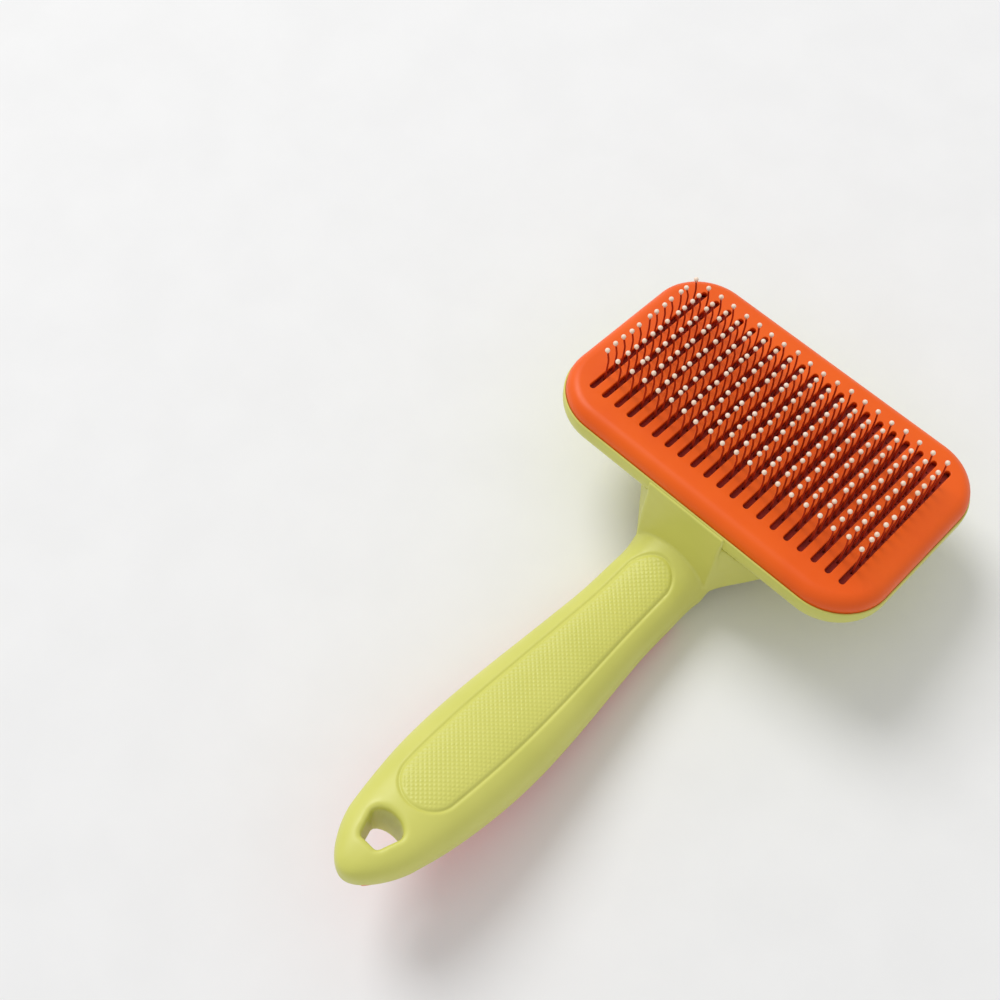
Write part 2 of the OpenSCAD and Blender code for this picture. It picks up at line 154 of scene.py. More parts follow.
def moulded(name, colour, deep, rough=(0.42, 0.52), grain=2600.0, bump=0.12, patch=45.0, **constants):
    """Moulded material: slow colour drift between two tones, uneven gloss and a fine grain in the surface."""
    m = bpy.data.materials.new(name)
    m.use_nodes = True
    tree = m.node_tree
    shader = tree.nodes["Principled BSDF"]
    place = tree.nodes.new("ShaderNodeTexCoord")

    def noise(scale, detail):
        n = tree.nodes.new("ShaderNodeTexNoise")
        n.inputs["Scale"].default_value = scale
        n.inputs["Detail"].default_value = detail
        tree.links.new(place.outputs["Object"], n.inputs["Vector"])
        return n.outputs["Fac"]

    drift = tree.nodes.new("ShaderNodeValToRGB")
    drift.color_ramp.elements[0].position = 0.36
    drift.color_ramp.elements[0].color = deep
    drift.color_ramp.elements[1].position = 0.64
    drift.color_ramp.elements[1].color = colour
    tree.links.new(noise(patch, 3.0), drift.inputs["Fac"])
    tree.links.new(drift.outputs["Color"], shader.inputs["Base Color"])

    gloss = tree.nodes.new("ShaderNodeMapRange")
    gloss.inputs["From Min"].default_value = 0.3
    gloss.inputs["From Max"].default_value = 0.7
    gloss.inputs["To Min"].default_value, gloss.inputs["To Max"].default_value = rough
    tree.links.new(noise(patch * 7, 4.0), gloss.inputs["Value"])
    tree.links.new(gloss.outputs["Result"], shader.inputs["Roughness"])

    relief = tree.nodes.new("ShaderNodeBump")
    relief.inputs["Strength"].default_value = bump
    relief.inputs["Distance"].default_value = 0.0001
    tree.links.new(noise(grain, 2.0), relief.inputs["Height"])
    tree.links.new(relief.outputs["Normal"], shader.inputs["Normal"])
    for socket, value in constants.items():
        shader.inputs[socket.replace("_", " ")].default_value = value
    return m


GREEN = moulded("green_plastic", linear(213, 212, 106), linear(207, 207, 99), (0.38, 0.47), bump=0.10)
ORANGE = moulded("orange_plastic", linear(243, 98, 2), linear(237, 91, 1), (0.38, 0.48), bump=0.12,
                Specular_IOR_Level=0.35)
SOFT = moulded("soft_grip", linear(240, 90, 16), linear(232, 80, 10), (0.52, 0.64), 3800.0, 0.22,
              Sheen_Weight=0.15)
WIRE = moulded("pin_wire", linear(186, 54, 22), linear(158, 42, 16), (0.28, 0.42), 1500.0, 0.10,
              160.0, Metallic=0.15)
BALL = moulded("pin_ball", linear(250, 232, 212), linear(244, 218, 192), (0.24, 0.34), 1800.0, 0.05, 500.0)
RUBBER = moulded("base_rubber", linear(178, 48, 26), linear(150, 38, 20), (0.6, 0.75), 3000.0, 0.35, 300.0)
RESIN = moulded("white_resin", linear(232, 230, 222), linear(222, 219, 208), (0.35, 0.48), bump=0.1)
STEEL = moulded("steel", linear(196, 198, 202), linear(160, 163, 168), (0.2, 0.38), 900.0, 0.08,
               260.0, Metallic=1.0)
LOOKS = {
    "green_plastic": GREEN, "orange_plastic": ORANGE, "soft_grip": SOFT, "pin_wire": WIRE,
    "pin_ball": BALL, "base_rubber": RUBBER, "white_resin": RESIN, "steel": STEEL,
}


# ---- Mesh helpers ----------------------------------------------------------------------


def piece(name, points, faces, body, look, nodes=()):
    """A mesh of head-frame points that rides on a body and stands for CAD nodes."""
    mesh = bpy.data.meshes.new(name)
    mesh.from_pydata(at_rest(points).tolist(), [], [list(map(int, f)) for f in faces])
    mesh.validate()
    mesh.shade_smooth()
    obj = bpy.data.objects.new(name, mesh)
    bpy.context.scene.collection.objects.link(obj)
    mesh.materials.append(LOOKS[look])
    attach(obj, body)
    if nodes:
        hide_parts(*nodes)
    return obj


def apply_modifier(obj, kind, **settings):
    """Adds a modifier of that kind, sets it and applies it."""
    m = obj.modifiers.new(kind.lower(), kind)
    for key, value in settings.items():
        setattr(m, key, value)
    graph = bpy.context.evaluated_depsgraph_get()
    done = bpy.data.meshes.new_from_object(obj.evaluated_get(graph))
    obj.modifiers.clear()
    obj.data = done
    return obj


def even_normals(obj):
    """Flat faces shade flat and only the small curved faces between them shade round."""
    return apply_modifier(obj, "WEIGHTED_NORMAL", keep_sharp=True, weight=90)


class Solid:
    """Points and faces that grow ring by ring."""

    def __init__(self):
        self.points = []
        self.faces = []

    def ring(self, points):
        """Adds a closed ring and gives its vertex numbers."""
        start = len(self.points)
        self.points.extend([tuple(map(float, p)) for p in points])
        return list(range(start, len(self.points)))

    def join(self, a, b):
        """Quads between two rings of the same length."""
        n = len(a)
        self.faces.extend([a[k], a[(k + 1) % n], b[(k + 1) % n], b[k]] for k in range(n))

    def tube(self, rings):
        """Rings joined one after another. Gives the first and the last ring's vertex numbers."""
        made = [self.ring(r) for r in rings]
        for a, b in zip(made, made[1:]):
            self.join(a, b)
        return made[0], made[-1]

    def sheet(self, outer, holes, up):
        """Flat triangles between an outer ring and the rings of its holes, facing up or down."""
        bm = bmesh.new()
        numbers, edges = {}, []
        for loop in [outer, *holes]:
            verts = []
            for i in loop:
                v = bm.verts.new(self.points[i])
                numbers[v] = i
                verts.append(v)
            edges += [bm.edges.new((verts[k - 1], verts[k])) for k in range(len(verts))]
        bmesh.ops.triangle_fill(bm, use_beauty=True, use_dissolve=False, edges=edges)
        for f in bm.faces:
            f.normal_update()
            ids = [numbers[v] for v in f.verts]
            self.faces.append(ids if (f.normal.z > 0) == up else ids[::-1])
        bm.free()


def rounded_rect(inset, z, size=HEAD, corner=HEAD_CORNER, n=14):
    """Ring of a rectangle with round corners and faintly bowed sides, pulled in by inset, at height z."""
    r = corner - inset
    out = []
    for q, (sx, sy) in enumerate([(1, 1), (-1, 1), (-1, -1), (1, -1)]):
        cx, cy = sx * (size[0] / 2 - corner), sy * (size[1] / 2 - corner)
        for k in range(n + 1):
            a = math.pi / 2 * (q + k / n)
            x, y = cx + r * math.cos(a), cy + r * math.sin(a)
            bow_x, bow_y = BOW * (2 * y / size[1]) ** 2, BOW * (2 * x / size[0]) ** 2
            out.append((x * (1 - 2 * bow_x / size[0]), y * (1 - 2 * bow_y / size[1]), z))
    return out


def circle(r, z, n=96, cy=AXIS_Y):
    """Ring of a circle around the button's axis."""
    return [(r * math.cos(2 * math.pi * k / n), cy + r * math.sin(2 * math.pi * k / n), z) for k in range(n)]


def slot_ring(x, grow, z, n=6):
    """Ring of a slot with round ends, grown by grow."""
    r = SLOT[0] / 2 + grow
    half = SLOT[1] / 2 - SLOT[0] / 2
    ends = [(half, 0.0), (-half, math.pi)]
    return [
        (x + r * math.cos(a0 + math.pi * k / n), cy + r * math.sin(a0 + math.pi * k / n), z)
        for cy, a0 in ends
        for k in range(n + 1)
    ]


def arc(r, a0, a1, n):
    """(cos, sin) pairs times r along an arc, in degrees."""
    angles = [math.radians(a0 + (a1 - a0) * k / n) for k in range(n + 1)]
    return [(r * math.cos(a), r * math.sin(a)) for a in angles]


# ---- Face plate ------------------------------------------------------------------------


def row_x(i):
    """Place of a row across the head."""
    return (i - (ROWS + 1) / 2) * ROW_PITCH


def make_face_plate():
    """Slotted plate with a soft front edge and a softened mouth on every slot."""
    s = Solid()
    soft = 0.25
    outside = [(LIP, -PLATE_RIM - 0.6)]
    outside += [(LIP + PLATE_EDGE - c, -PLATE_EDGE + h) for c, h in arc(PLATE_EDGE, 0, 90, 10)]
    inside = [(LIP + WALL + 1.4, -WALL), (LIP + WALL, -WALL - 1.4), (LIP + WALL, -PLATE_RIM - 0.6)]
    first, top = s.tube([rounded_rect(i, z) for i, z in outside])
    under, last = s.tube([rounded_rect(i, z) for i, z in inside])
    s.join(last, first)
    mouths, feet = [], []
    for i in range(1, ROWS + 1):
        rim = [(soft - c, -soft + h) for c, h in reversed(arc(soft, 0, 90, 3))]
        mouth, foot = s.tube([slot_ring(row_x(i), g, z) for g, z in [*rim, (0, -WALL)]])
        mouths.append(mouth)
        feet.append(foot)
    s.sheet(top, mouths, True)
    s.sheet(under, feet, False)
    plate = piece("face_plate_shell", s.points, s.faces, "brush", "orange_plastic", ["face_plate"])
    return even_normals(plate)


# ---- Back shell with its collar --------------------------------------------------------


def shell_side():
    """Inset, z and steepness of the shell's outside, from below the lip to the flat back."""
    side = []
    for k in range(7):
        a = math.radians(SHELL_SLANT * k / 6)
        side.append((SHELL_TURN_R * (1 - math.cos(a)), SHELL_TURN - SHELL_TURN_R * math.sin(a), a))
    low = math.radians(SHELL_SLANT)
    foot_r = (SHELL_LOW[1] - HEAD_BACK) / (1 - math.sin(low))
    for k in range(8):
        a = low + (math.pi / 2 - low) * k / 7
        side.append((SHELL_LOW[0] + foot_r * (math.cos(low) - math.cos(a)),
                     SHELL_LOW[1] - foot_r * (math.sin(a) - math.sin(low)), a))
    return side


def shell_inside():
    """Inset and z of the shell's inside, thin up the sides and WALL thick at the floor."""
    low = math.radians(SHELL_SLANT)
    inside = []
    for i, z, a in reversed(shell_side()):
        floor = max(0, (a - low) / (math.pi / 2 - low)) ** 2
        thick = SIDE_WALL + (WALL - SIDE_WALL) * floor
        inside.append((i + thick * math.cos(a), z + thick * math.sin(a)))
    return inside


def make_back_shell():
    """Shell with a thin lip round the plate, a round back edge and the collar that guides the button."""
    s = Solid()
    lip_r = 0.25
    lip_top = -PLATE_RIM + 0.2
    outside = [(LIP - 0.02, -PLATE_RIM - 1.2), (LIP - 0.02, lip_top - 0.05), (LIP - 0.1, lip_top)]
    outside += [(lip_r - c, lip_top - lip_r + h) for c, h in reversed(arc(lip_r, 0, 90, 3))]
    outside += [(i, z) for i, z, _ in shell_side()]
    top, flat = s.tube([rounded_rect(i, z) for i, z in outside])
    foot = 0.8
    rim = 0.9
    profile = [(COLLAR_R + foot - c, HEAD_BACK - foot + h) for c, h in reversed(arc(foot, 0, 90, 4))]
    profile += [(COLLAR_R - rim + c, COLLAR_END + rim - h) for c, h in arc(rim, 0, 90, 6)]
    profile += [(BORE_R + rim - c, COLLAR_END + rim - h) for c, h in reversed(arc(rim, 0, 90, 6))]
    profile += [(BORE_R, HEAD_BACK + WALL)]
    base, bore = s.tube([circle(r, z) for r, z in profile])
    inside = shell_inside()
    floor, last = s.tube([rounded_rect(i, z) for i, z in [*inside, (SIDE_WALL, -PLATE_RIM - 1.2)]])
    s.join(last, top)
    s.sheet(flat, [base], False)
    s.sheet(floor, [bore], True)
    shell = piece("back_shell_body", s.points, s.faces, "brush", "green_plastic", ["back_shell"])
    recalculate(shell)
    return even_normals(shell)


def recalculate(obj):
    """Turns every face outward."""
    bm = bmesh.new()
    bm.from_mesh(obj.data)
    bmesh.ops.remove_doubles(bm, verts=bm.verts, dist=1e-8)
    bmesh.ops.recalc_face_normals(bm, faces=bm.faces)
    bm.to_mesh(obj.data)
    bm.free()


# ---- Button ----------------------------------------------------------------------------


def make_button():
    """Cap with a faintly crowned top, a soft edge and the two snap windows in its skirt."""
    s = Solid()
    inner = BUTTON_R - BUTTON_WALL
    crown = [(r, BUTTON_TOP + 0.12 * (r / BUTTON_R) ** 2) for r in (0.6, 3, 6, 9)]
    profile = [*crown]
    profile += [(BUTTON_R - BUTTON_EDGE + c, BUTTON_TOP + 0.12 + BUTTON_EDGE - h)
                for c, h in reversed(arc(BUTTON_EDGE, 0, 90, 8))]
    profile += [(BUTTON_R, SKIRT_END - 0.2), (BUTTON_R - 0.2, SKIRT_END), (inner, SKIRT_END)]
    profile += [(inner, BUTTON_TOP + BUTTON_WALL + 0.6), (inner - 0.6, BUTTON_TOP + BUTTON_WALL)]
    profile += [(0.6, BUTTON_TOP + BUTTON_WALL)]
    first, last = s.tube([circle(r, z, 128) for r, z in profile])
    s.faces += [first[::-1], last]
    cap = piece("button_cap_body", s.points, s.faces, "pin_slider", "orange_plastic", ["button_cap"])
    recalculate(cap)
    for side in (-1, 1):
        cutter = window_cutter(side)
        apply_modifier(cap, "BOOLEAN", operation="DIFFERENCE", object=cutter, solver="EXACT")
        bpy.data.objects.remove(cutter)
    sharp_by_angle(cap, 40)
    return cap


def window_cutter(side):
    """Block with the window's size that reaches through the skirt on one side."""
    x = side * (BUTTON_R - BUTTON_WALL / 2)
    dx, dy, dz = 1.6, WINDOW[0] / 2, WINDOW[1] / 2
    signs = [(a, b, c) for a in (-1, 1) for b in (-1, 1) for c in (-1, 1)]
    corners = [(x + a * dx, AXIS_Y + b * dy, WINDOW_Z + c * dz) for a, b, c in signs]
    faces = [(0, 1, 3, 2), (4, 6, 7, 5), (0, 4, 5, 1), (2, 3, 7, 6), (0, 2, 6, 4), (1, 5, 7, 3)]
    mesh = bpy.data.meshes.new("cutter")
    mesh.from_pydata(at_rest(corners).tolist(), [], faces)
    obj = bpy.data.objects.new("cutter", mesh)
    bpy.context.scene.collection.objects.link(obj)
    return obj


def sharp_by_angle(obj, degrees):
    """Edges that turn more than this many degrees shade sharp."""
    obj.data.shade_smooth()
    obj.data.set_sharp_from_angle(angle=math.radians(degrees))


# ---- Pins ------------------------------------------------------------------------------


def sweep(s, path, radius, n=8):
    """Closed round wire along a path of points in one plane of constant x (or nearly so)."""
    path = np.asarray(path, float)
    tangent = np.gradient(path, axis=0)
    tangent /= np.linalg.norm(tangent, axis=1)[:, None]
    side = np.array([1.0, 0, 0])
    rings = []
    turns = np.arange(n) * 2 * math.pi / n
    for p, t in zip(path, tangent):
        u = side - t * (side @ t)
        u /= np.linalg.norm(u)
        v = np.cross(t, u)
        rings.append([p + radius * (u * math.cos(a) + v * math.sin(a)) for a in turns])
    first, last = s.tube(rings)
    s.faces += [first[::-1], last]


def pin_path(x, y, drift):
    """Centre line of one pin from the back of the base to its ball; drift moves the ball a little."""
    knee = y - (BEND_Z - BEND_START) * math.tan(LOW_LEAN)
    ball = np.array([x + drift[0], y - BALL_BACK + drift[1], BALL_Z + drift[2]])
    points = [(x, y, BASE_BACK), (x, y, BEND_START)]
    low = np.array([x, knee, BEND_Z])
    start = np.array([x, y, BEND_START])
    for t in (0.35, 0.7):
        points.append(tuple(start + (low - start) * t))
    for t in np.linspace(0, 1, 5):
        a, b = low - (low - start) * 0.25 * (1 - t), low + (ball - low) * 0.2 * t
        points.append(tuple(a * (1 - t) + b * t))
    for t in (0.45, 0.7, 1.0):
        points.append(tuple(low + (ball - low) * t))
    return np.array(points)


def drop(s, path, n=12):
    """Ball of resin on the end of a wire, with a short tail down the wire."""
    tip = path[-1]
    axis = path[-1] - path[-2]
    axis = axis / np.linalg.norm(axis)
    u = np.array([1.0, 0, 0]) - axis * axis[0]
    u /= np.linalg.norm(u)
    v = np.cross(axis, u)
    profile = [(-1.25, 0.26), (-0.95, 0.3), (-0.66, 0.44)]
    profile += [(BALL_R * math.sin(a), BALL_R * math.cos(a)) for a in np.radians([-30, -5, 20, 42, 62, 80])]
    rings = [
        [tip + axis * h + r * (u * math.cos(b) + v * math.sin(b)) for b in np.arange(n) * 2 * math.pi / n]
        for h, r in profile
    ]
    first, last = s.tube(rings)
    s.faces += [first[::-1], last]


def make_pins():
    """Rows of staples, bent towards the handle, and the balls on their tips."""
    for i in range(1, ROWS + 1):
        wires, tips = Solid(), Solid()
        for j in range(2 * STAPLES):
            y = FIRST_PIN + j * PIN_PITCH
            pair = 0.25 if j % 2 else -0.25
            drift = (rng.uniform(-0.1, 0.1), pair + rng.uniform(-0.45, 0.45), rng.uniform(-0.35, 0.25))
            path = pin_path(row_x(i), y, drift)
            sweep(wires, path, WIRE_R)
            drop(tips, path)
        for k in range(STAPLES):
            y = FIRST_PIN + 2 * k * PIN_PITCH
            turn = [(STAPLE_R - STAPLE_R * math.cos(a), STAPLE_R * math.sin(a)) for a in (0, 0.5, 1, 1.57)]
            bar = [(row_x(i), y + c, BASE_BACK - h) for c, h in turn]
            bar += [(row_x(i), y + PIN_PITCH - c, BASE_BACK - h) for c, h in reversed(turn)]
            sweep(wires, bar, WIRE_R)
        tag = f"{i:02d}"
        piece(f"pins_of_row_{tag}", wires.points, wires.faces, "pin_slider", "pin_wire", [f"pin_row_{tag}"])
        piece(f"balls_of_row_{tag}", tips.points, tips.faces, "pin_slider", "pin_ball", [f"pin_tips_{tag}"])


# ---- Handle: stations, sections and the implicit body ----------------------------------

# y, front z, back z, half width, squareness of the section
STATIONS = np.array([
    [-19, -26.3, -31.0, 18.5, 5],
    [-23, -26.3, -31.6, 17.2, 5],
    [-26.5, -26.3, -33.6, 15.2, 4.5],
    [-29, -26.3, -36.0, 13.4, 4],
    [-31.5, -26.4, -38.6, 12.0, 3.6],
    [-36, -27.0, -41.3, 11.3, 3],
    [-41, -26.9, -43.1, 11.3, 2.8],
    [-52, -27.2, -44.8, 11.5, 2.5],
    [-63, -27.7, -46.25, 12.3, 2.5],
    [-73, -28.2, -47.8, 13.2, 2.5],
    [-83, -28.5, -48.65, 14.0, 2.5],
    [-94, -28.4, -49.0, 14.6, 2.5],
    [-105, -28.0, -48.25, 14.6, 2.5],
    [-116, -27.6, -46.75, 13.9, 2.5],
    [-126, -27.8, -45.3, 12.5, 2.5],
    [-135, -28.3, -42.7, 10.7, 2.5],
    [-144, -29.0, -41.2, 8.8, 2.5],
    [-150, -29.3, -40.6, 7.8, 2.5],
])


def along(y, column):
    """Smooth curve through a column of the stations."""
    ys, vs = STATIONS[:, 0], STATIONS[:, column]
    slopes = np.array([(vs[min(k + 1, len(vs) - 1)] - vs[max(k - 1, 0)])
                       / (ys[min(k + 1, len(ys) - 1)] - ys[max(k - 1, 0)]) for k in range(len(vs))])
    y = np.clip(y, ys[-1], ys[0])
    k = np.clip(np.searchsorted(-ys, -y, side="right") - 1, 0, len(ys) - 2)
    h = ys[k + 1] - ys[k]
    t = (y - ys[k]) / h
    return ((2 * t**3 - 3 * t**2 + 1) * vs[k] + (t**3 - 2 * t**2 + t) * slopes[k] * h
            + (3 * t**2 - 2 * t**3) * vs[k + 1] + (t**3 - t**2) * slopes[k + 1] * h)


def closing(y):
    """1 along the handle, falling to 0 on an ellipse at its tip."""
    t = np.clip((TIP_ROUND - TIP - y) / TIP_ROUND, 0, 1)
    return np.sqrt(np.maximum(0, 1 - t**2))


def section(y):
    """Half width, middle z, half thickness and squareness of the handle's section."""
    c = closing(y)
    front, back = along(y, 1), along(y, 2)
    return along(y, 3) * c, (front + back) / 2, (front - back) / 2 * np.sqrt(c), along(y, 4)


def smooth_min(a, b, r):
    """The lower of two fields, with a fillet of about radius r between them."""
    h = np.clip(0.5 + 0.5 * (b - a) / r, 0, 1)
    return b + (a - b) * h - r * h * (1 - h)


def smooth_max(a, b, r):
    """The higher of two fields, with a round of about radius r between them."""
    return -smooth_min(-a, -b, r)


# Where the handle's front ends against the web, and its half width there
STEP_Y = -31.5
STEP_HALF = 12.0


# The front swells towards the web: extra height there, length of the swell, squareness at the web
SWELL = (4.4, 22.0, 1.9)


def handle_field(x, y, z):
    """Below zero inside the handle."""
    w, m, t, e = section(y)
    near = (1 - np.clip((STEP_Y - y) / SWELL[1], 0, 1)) ** 2
    w, t = np.clip(w, 0.15, np.where(y > STEP_Y, STEP_HALF, 99)), np.maximum(t, 0.15)
    t = np.where(z > m, t + SWELL[0] * near, t)
    e = np.where(z > m, e + (SWELL[2] - e) * near, e)
    g = ((np.abs(x) / w) ** e + (np.abs(z - m) / t) ** e) ** (1 / e)
    return np.maximum((g - 1) * np.minimum(w, t), y + 25)


def neck_field(x, y, z):
    """Below zero inside the block that carries the head: the handle's back and sides, open to the front."""
    w, back, e = along(y, 3), along(y, 2), along(y, 4)
    front = -4.0
    m, t = (front + back) / 2, (front - back) / 2
    g = ((np.abs(x) / w) ** e + (np.abs(z - m) / t) ** e) ** (1 / e)
    return np.maximum((g - 1) * t, np.maximum(y + 8, -37 - y))


def hub_field(x, y, z):
    """Below zero inside the domed ring around the button."""
    rho = np.hypot(x, y - AXIS_Y)
    wide, high = HUB_R - 0.3 - RECESS_R - 0.8, HEAD_BACK - CROWN
    out, down = np.maximum(rho - RECESS_R - 0.8, 0) / wide, np.minimum(z - HEAD_BACK, 0) / high
    return (np.sqrt(out**2 + down**2) - 1) * 9.5


# Web between the head and the handle: a flat face flush with the shell's side, from under the lip to the
# handle. y of the face and half width at z = 0, with their change per mm of height
WEB_FACE = (-32.35, -0.0316)
WEB_HALF = (12.2, 0.0316)
WEB_TOP = -4.75
WEB_END = -30
# Slope of the web's sides behind the face
WEB_FLARE = 0.75


def web_face(y, z):
    """Below zero on the head's side of the web's face."""
    return WEB_FACE[0] + WEB_FACE[1] * z - y


def web_field(x, y, z):
    """Below zero inside the part of the web that lies over the shell's side."""
    behind = y + 31.0 - 0.62 * np.maximum(0, -9 - z)
    side = np.abs(x) - WEB_HALF[0] - WEB_HALF[1] * z
    ends = np.maximum(np.maximum(behind, z - WEB_TOP), WEB_END - z)
    return smooth_max(smooth_max(web_face(y, z), side, 0.25), ends, 0.2)


def under_shell(y, z):
    """Below zero under the shell, a little inside its outside."""
    return z + 17.6 - 1.48 * np.maximum(0, np.abs(y) - 25.1)


# Thumb scoop cut out of the hub on the handle's side: radius, and y and z of its middle
SCOOP_R = 13
SCOOP_AT = (-13.5, -36)

# Hanging hole: half width at the foot and at the widest, y of the foot, the shoulder and the dome's top
HOLE_FLAT, HOLE_WIDE, HOLE_FOOT, HOLE_SHOULDER, HOLE_DOME = 2.9, 4.7, -4.7, 1.0, 4.0


def hole_distance(x, y):
    """Signed distance from the hanging hole's outline: domed towards the head, flat towards the tip."""
    outline = [(-HOLE_FLAT + 0.7, HOLE_FOOT), (HOLE_FLAT - 0.7, HOLE_FOOT), (HOLE_FLAT, HOLE_FOOT + 0.6)]
    outline += [(HOLE_WIDE * math.cos(a), HOLE_SHOULDER + (HOLE_DOME - HOLE_SHOULDER) * math.sin(a))
                for a in np.linspace(0, math.pi, 13)]
    outline += [(-HOLE_FLAT, HOLE_FOOT + 0.6)]
    p = np.stack([x, y - HOLE_Y], -1)
    best = np.full(x.shape, 1e9)
    inside = np.zeros(x.shape, bool)
    for k, a in enumerate(outline):
        a, b = np.array(a), np.array(outline[(k + 1) % len(outline)])
        d = b - a
        t = np.clip(((p - a) @ d) / (d @ d), 0, 1)
        best = np.minimum(best, np.linalg.norm(p - a - t[..., None] * d, axis=-1))
        crosses = (a[1] > p[..., 1]) != (b[1] > p[..., 1])
        with np.errstate(divide="ignore", invalid="ignore"):
            at = (b[0] - a[0]) * (p[..., 1] - a[1]) / (b[1] - a[1]) + a[0]
        inside ^= crosses & (p[..., 0] < at)
    return np.where(inside, -best, best)


def core_field(x, y, z):
    """Below zero inside the one moulding of hub, neck and handle."""
    hub = smooth_min(hub_field(x, y, z), neck_field(x, y, z), 7.0)
    hub = np.maximum(hub, under_shell(y, z))
    side = np.abs(x) - WEB_HALF[0] - WEB_HALF[1] * z + WEB_FLARE * web_face(y, z)
    hub = np.minimum(smooth_max(smooth_max(hub, side, 0.2), web_face(y, z), 0.15), web_field(x, y, z))
    body = smooth_min(hub, handle_field(x, y, z), 0.3)
    body = smooth_max(body, RECESS_R - np.hypot(x, y - AXIS_Y), 1.6)
    scoop = SCOOP_R - np.sqrt(x**2 + (y - SCOOP_AT[0]) ** 2 + (z - SCOOP_AT[1]) ** 2)
    body = smooth_max(body, scoop, 2.4)
    near = np.abs(y - HOLE_Y) < 9
    hole = np.full(np.broadcast(x, y, z).shape, 9.0)
    x, y, near = (np.broadcast_to(v, hole.shape) for v in (x, y, near))
    hole[near] = hole_distance(x[near], y[near])
    return smooth_max(body, -hole, 1.8)


def surface_net(field, lo, hi, step):
    """Closed mesh of quads on the zero level of a field."""
    axes = [np.arange(a, b + step, step) for a, b in zip(lo, hi)]
    d = field(*np.meshgrid(*axes, indexing="ij", sparse=True))
    inside = d < 0
    corners = [(i, j, k) for i in (0, 1) for j in (0, 1) for k in (0, 1)]
    n = np.array(d.shape) - 1
    count = sum(inside[i: i + n[0], j: j + n[1], k: k + n[2]].astype(np.int8) for i, j, k in corners)
    cells = np.argwhere((count > 0) & (count < 8))
    number = np.full(count.shape, -1)
    number[tuple(cells.T)] = np.arange(len(cells))
    total, hits = np.zeros((len(cells), 3)), np.zeros(len(cells))
    for axis in range(3):
        for corner in corners:
            if corner[axis]:
                continue
            far = np.array(corner)
            far[axis] = 1
            a, b = d[tuple((cells + corner).T)], d[tuple((cells + far).T)]
            cut = (a < 0) != (b < 0)
            t = a / np.where(cut, a - b, 1)
            spot = np.array(corner, float) + t[:, None] * (far - np.array(corner))
            total += spot * cut[:, None]
            hits += cut
    points = np.array(lo) + (cells + total / hits[:, None]) * step
    quads = []
    for axis in range(3):
        u, v = (axis + 1) % 3, (axis + 2) % 3
        low = [slice(None)] * 3
        low[axis] = slice(0, -1)
        high = [slice(None)] * 3
        high[axis] = slice(1, None)
        edges = np.argwhere(inside[tuple(low)] != inside[tuple(high)])
        edges = edges[(edges[:, u] > 0) & (edges[:, v] > 0) & (edges[:, u] < n[u]) & (edges[:, v] < n[v])]
        du, dv = np.eye(3, dtype=int)[u], np.eye(3, dtype=int)[v]
        four = np.stack([number[tuple((edges - o).T)] for o in (du + dv, dv, 0 * du, du)], 1)
        flip = ~inside[tuple(edges.T)]
        four[flip] = four[flip][:, ::-1]
        quads.append(four)
    return points, np.concatenate(quads)


def slope_of(field, p):
    """Gradient of a field at points."""
    h = 0.04
    return np.stack([(field(*(p + o).T) - field(*(p - o).T)) / (2 * h) for o in np.eye(3) * h], 1)


def settle(field, p, rounds=3):
    """Moves points onto the zero level of a field and gives them with their outward normals."""
    for _ in range(rounds):
        g = slope_of(field, p)
        move = (field(*p.T) / np.maximum((g**2).sum(1), 0.04))[:, None] * g
        p = p - np.clip(move, -0.3, 0.3)
    g = slope_of(field, p)
    return p, g / np.maximum(np.linalg.norm(g, axis=1), 1e-6)[:, None]


# ---- Knurl, groove and panel -----------------------------------------------------------

PANEL_Y = (-34.9, -126.5)
PANEL_ROUND = 7.0
# Stretch of the handle whose front takes the panel's relief
PANEL_AREA = (-33, -129)
KNURL = 1.5


def smooth_step(a, b, v):
    """0 where v is at a or before, 1 at b or past it, smooth between."""
    t = np.clip((v - a) / (b - a), 0, 1)
    return t * t * (3 - 2 * t)


def knurl(s, y, height):
    """Little flat-topped diamonds, laid out on two crossing sets of lines."""
    a, b = (s + y) / KNURL, (s - y) / KNURL
    low = np.minimum(np.abs(a - np.round(a)), np.abs(b - np.round(b))) * 2
    return height * smooth_step(0.0, 0.75, low)


def panel_distance(x, y):
    """Signed distance from the outline of the textured panel on the handle's front."""
    half = 0.61 * along(y, 3) - 0.5
    mid, reach = (PANEL_Y[0] + PANEL_Y[1]) / 2, (PANEL_Y[0] - PANEL_Y[1]) / 2
    r = np.minimum(PANEL_ROUND, half)
    qx, qy = np.abs(x) - half + r, np.abs(y - mid) - reach + r
    return np.hypot(np.maximum(qx, 0), np.maximum(qy, 0)) + np.minimum(np.maximum(qx, qy), 0) - r


def panel_relief(x, y):
    """Height that the front panel's groove and knurl add to the handle."""
    d = panel_distance(x, y)
    groove = -0.38 * np.exp(-((d / 0.42) ** 2))
    return groove + knurl(x, y, 0.12) * smooth_step(-0.6, -1.2, d)


